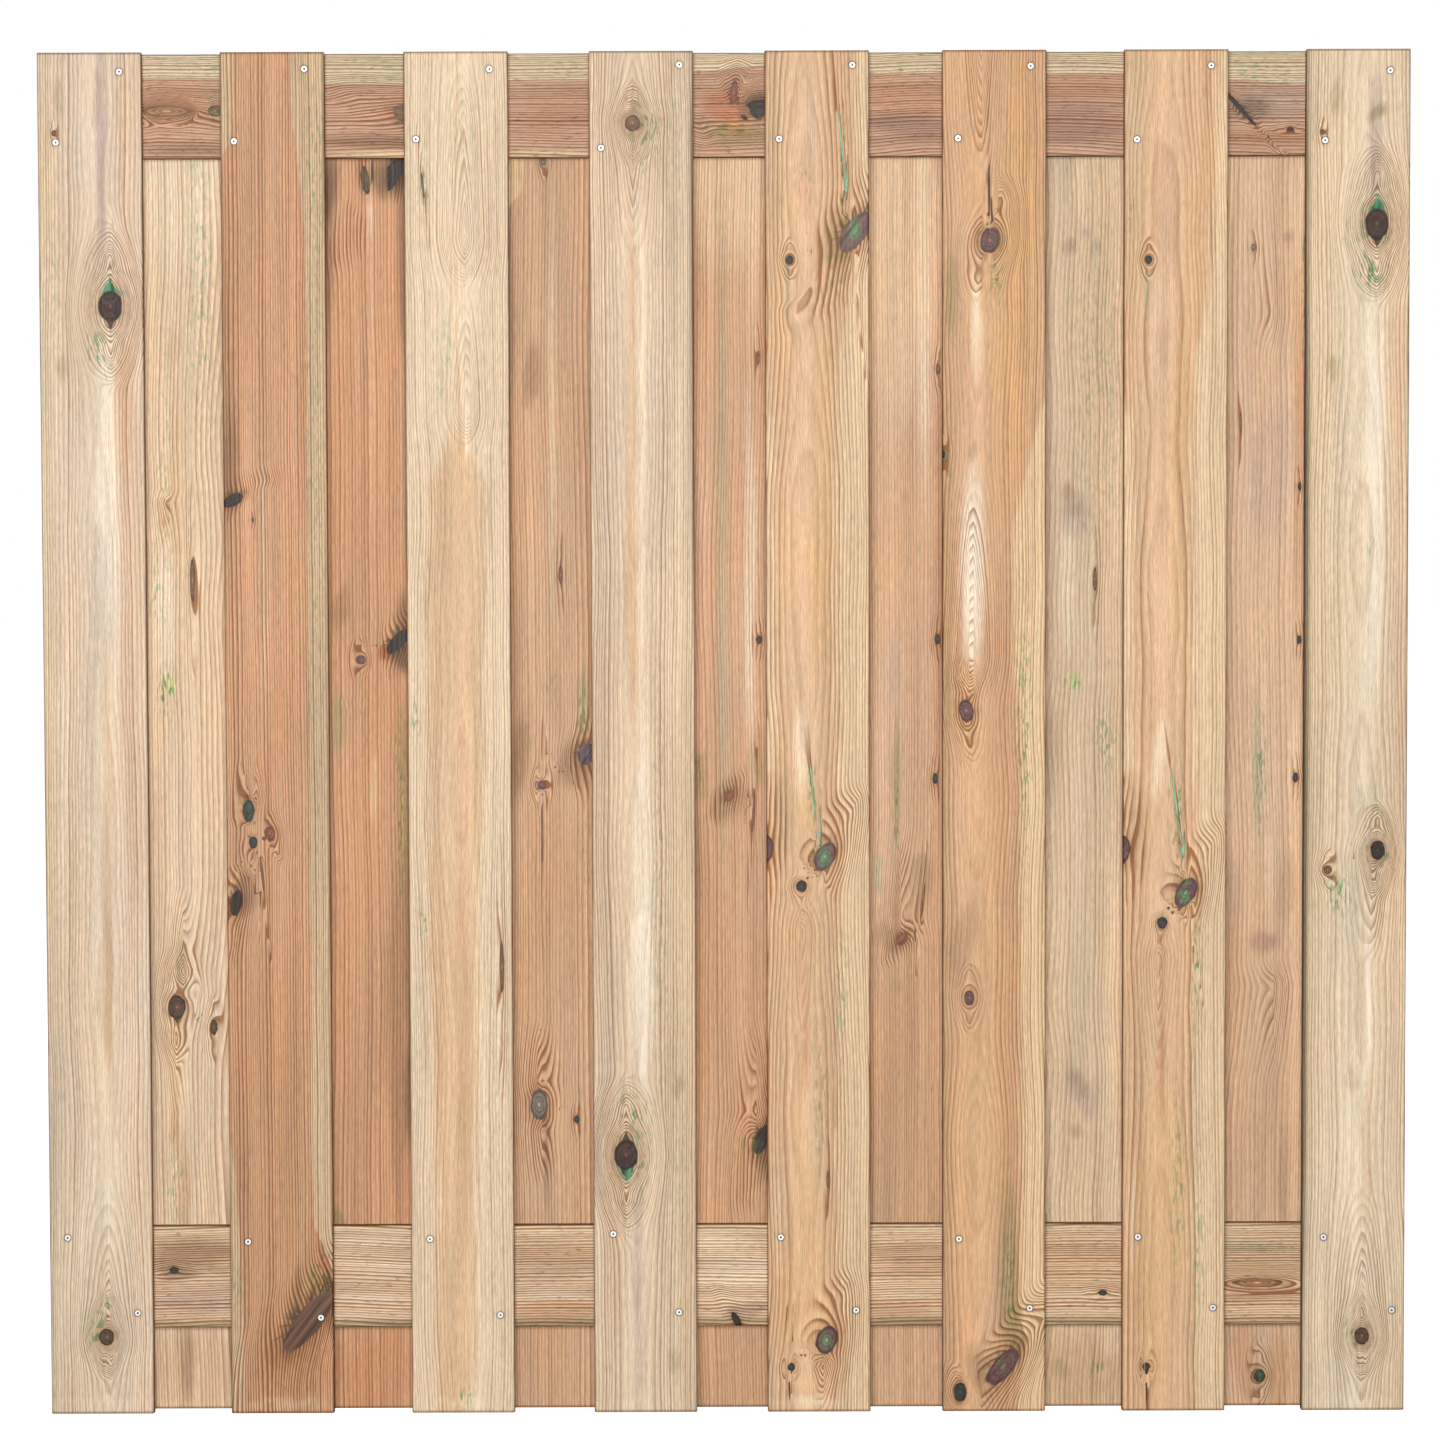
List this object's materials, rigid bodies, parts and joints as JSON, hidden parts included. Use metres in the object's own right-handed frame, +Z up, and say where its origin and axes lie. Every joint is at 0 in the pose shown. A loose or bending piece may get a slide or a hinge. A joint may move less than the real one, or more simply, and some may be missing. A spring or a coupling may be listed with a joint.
{
  "type": "garden screen panel",
  "caption": "Hit-and-miss garden screen panel: planed softwood uprights screwed to both sides of two rails, the back ones covering the gaps.",
  "frame": {"origin": "middle of the bottom rail's left end, where the panel meets its left post", "axes": "+X along the panel to the right seen from the front, -Y the front, +Z up"},
  "size_m": [1.8, 0.048, 1.8],
  "materials": {
    "pale_pine": "planed, pressure-treated, pale straw with knots and green tint",
    "red_pine": "planed, pressure-treated, red-brown heartwood with pale sapwood edges",
    "golden_pine": "planed, pressure-treated, golden brown with stacked arches",
    "tan_pine": "planed, pressure-treated, tan to pinkish brown",
    "rail_pine": "planed, pressure-treated, darker brown with green tint along the edges",
    "stainless_screw": "bright stainless, countersunk with a driver recess"
  },
  "bodies": {
    "root": {"front_board_1": "pale_pine", "front_board_2": "red_pine", "front_board_3": "pale_pine", "front_board_4": "pale_pine", "front_board_5": "pale_pine", "front_board_6": "golden_pine", "front_board_7": "pale_pine", "front_board_8": "pale_pine", "back_board_1": "tan_pine", "back_board_2": "tan_pine", "back_board_3": "tan_pine", "back_board_4": "tan_pine", "back_board_5": "tan_pine", "back_board_6": "tan_pine", "back_board_7": "tan_pine", "top_rail": "rail_pine", "bottom_rail": "rail_pine", "front_screws_top": "stainless_screw", "front_screws_bottom": "stainless_screw", "back_screws_top": "stainless_screw", "back_screws_bottom": "stainless_screw"}
  },
  "joints": []
}
